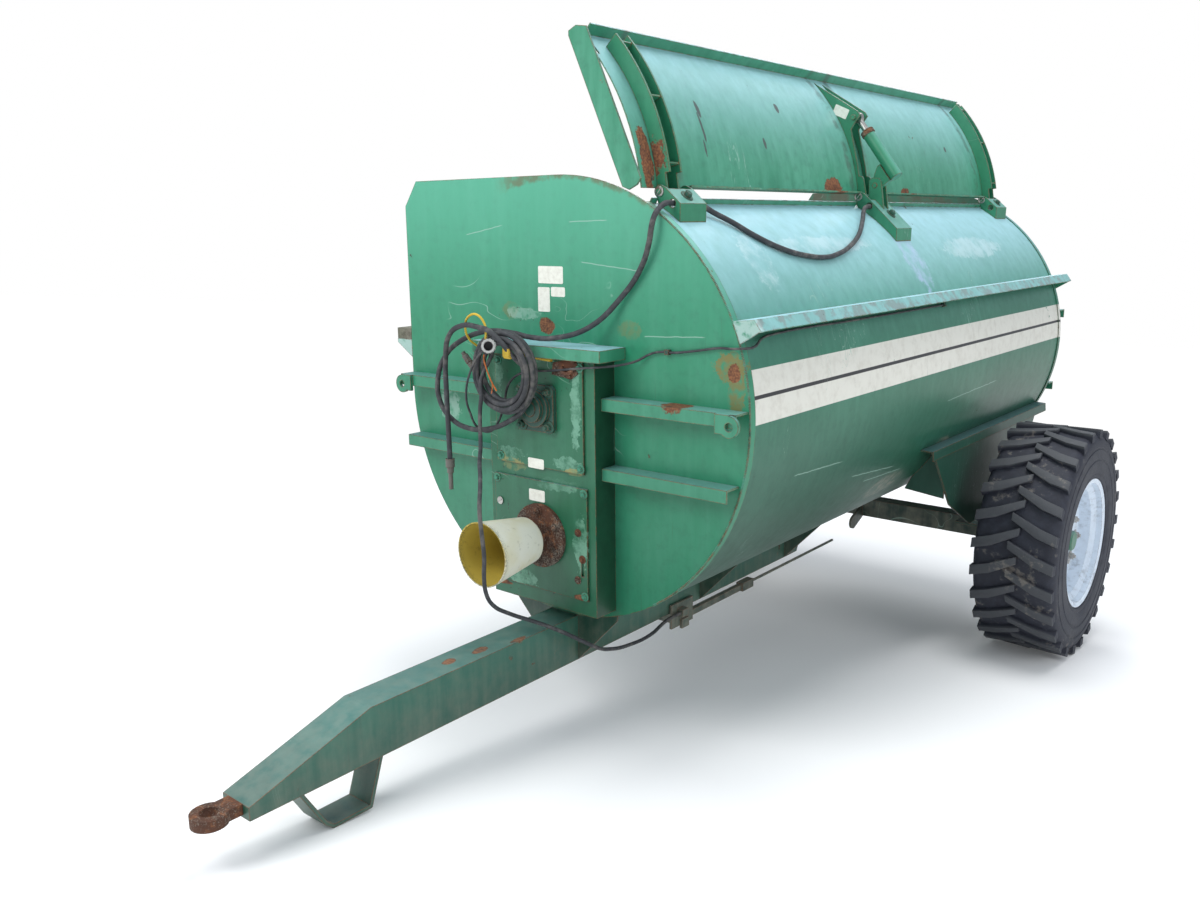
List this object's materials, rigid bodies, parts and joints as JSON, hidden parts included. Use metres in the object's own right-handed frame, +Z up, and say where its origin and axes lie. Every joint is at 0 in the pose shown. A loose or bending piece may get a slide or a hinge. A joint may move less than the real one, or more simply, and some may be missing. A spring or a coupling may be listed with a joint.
{
  "type": "manure spreader",
  "caption": "Towed farm spreader with a long round drum, a chain rotor driven by an input shaft, a hydraulically lifted lid, drawbar with skid and one axle with large wheels.",
  "frame": {"origin": "floor level under the centre of the bounding box, as parked on its wheels and skid", "axes": "+X to the machine's left, +Y to its rear, +Z up; the drum's axis is tipped nose-down by the parked pitch"},
  "size_m": [2.37, 4.5319, 2.6473],
  "materials": {
    "green_paint": "weathered semi-gloss green paint",
    "rail_timber": "weathered timber",
    "dark_steel": "dirty dark paint",
    "rusty_iron": "rusted",
    "bare_steel": "bare machined steel",
    "guard_plastic": "faded plastic",
    "plug_plastic": "matt black",
    "rim_paint": "silver white paint",
    "tyre_rubber": "dusty rubber",
    "hose_rubber": "matt rubber"
  },
  "bodies": {
    "chassis": {"drum_shell": "green_paint", "front_plate": "green_paint", "rear_plate": "green_paint", "top_cover": "green_paint", "side_lip": "green_paint", "side_rail": "rail_timber", "hinge_brackets": "green_paint", "ram_arm": "green_paint", "front_ribs": "green_paint", "rear_ribs": "green_paint", "drive_box": "green_paint", "box_cap": "green_paint", "box_panel": "green_paint", "box_plate": "green_paint", "front_bearing": "dark_steel", "rear_bearing": "dark_steel", "input_flange": "rusty_iron", "input_guard": "guard_plastic", "drawbar": "green_paint", "tow_eye": "rusty_iron", "skid": "green_paint", "beam_saddles": "green_paint", "saddles": "green_paint", "axle": "dark_steel", "brakes": "dark_steel", "handbrake": "dark_steel", "brake_rod": "dark_steel", "hose_hook": "green_paint", "cable_clips": "dark_steel", "ram_hose": "hose_rubber", "hose_coil": "hose_rubber", "hose_tail": "hose_rubber", "hose_coupler": "bare_steel", "brake_hose": "hose_rubber", "light_cable": "hose_rubber", "light_plug": "plug_plastic"},
    "lid": {"lid_skin": "green_paint", "lid_ribs": "green_paint", "lid_lever": "green_paint", "lid_end_bars": "green_paint"},
    "ram_cylinder": {"ram_cylinder": "green_paint"},
    "ram_rod": {"ram_rod": "bare_steel"},
    "rotor": {"rotor_tube": "dark_steel", "rotor_chains": "rusty_iron"},
    "input_shaft": {"input_shaft": "bare_steel"},
    "wheel_left": {"hub_left": "green_paint", "rim_left": "rim_paint", "tyre_left": "tyre_rubber"},
    "wheel_right": {"hub_right": "green_paint", "rim_right": "rim_paint", "tyre_right": "tyre_rubber"}
  },
  "joints": [
    {"name": "lid_hinge", "type": "hinge", "parent": "chassis", "child": "lid", "pos_m": [0.37836, 0.58243, 2.00144], "axis": [0, -0.9963, -0.0854], "range_deg": [0, 56]},
    {"name": "ram_pivot", "type": "hinge", "parent": "chassis", "child": "ram_cylinder", "pos_m": [0.42536, 0.56463, 2.04508], "axis": [0, -0.9963, -0.0854], "range_deg": [0, 52.31]},
    {"name": "ram_stroke", "type": "slide", "parent": "ram_cylinder", "child": "ram_rod", "axis": [-0.6, -0.0683, 0.7971], "range_m": [0, 0.06326]},
    {"name": "rotor_spin", "type": "hinge", "parent": "chassis", "child": "rotor", "pos_m": [0, -0.88821, 1.17307], "axis": [0, 0.9963, 0.0854], "continuous": true},
    {"name": "input_spin", "type": "hinge", "parent": "chassis", "child": "input_shaft", "pos_m": [0, -0.99949, 0.71489], "axis": [0, 0.9963, 0.0854], "continuous": true},
    {"name": "wheel_left_spin", "type": "hinge", "parent": "chassis", "child": "wheel_left", "pos_m": [1.185, 1.44566, 0.525], "axis": [1, 0, 0], "continuous": true},
    {"name": "wheel_right_spin", "type": "hinge", "parent": "chassis", "child": "wheel_right", "pos_m": [-1.185, 1.44566, 0.525], "axis": [1, 0, 0], "continuous": true}
  ],
  "couplings": [
    {"joint": "ram_pivot", "follows": "lid_hinge", "ratio": 0.93381},
    {"joint": "ram_stroke", "follows": "lid_hinge", "m_per_rad": 0.06467}
  ]
}
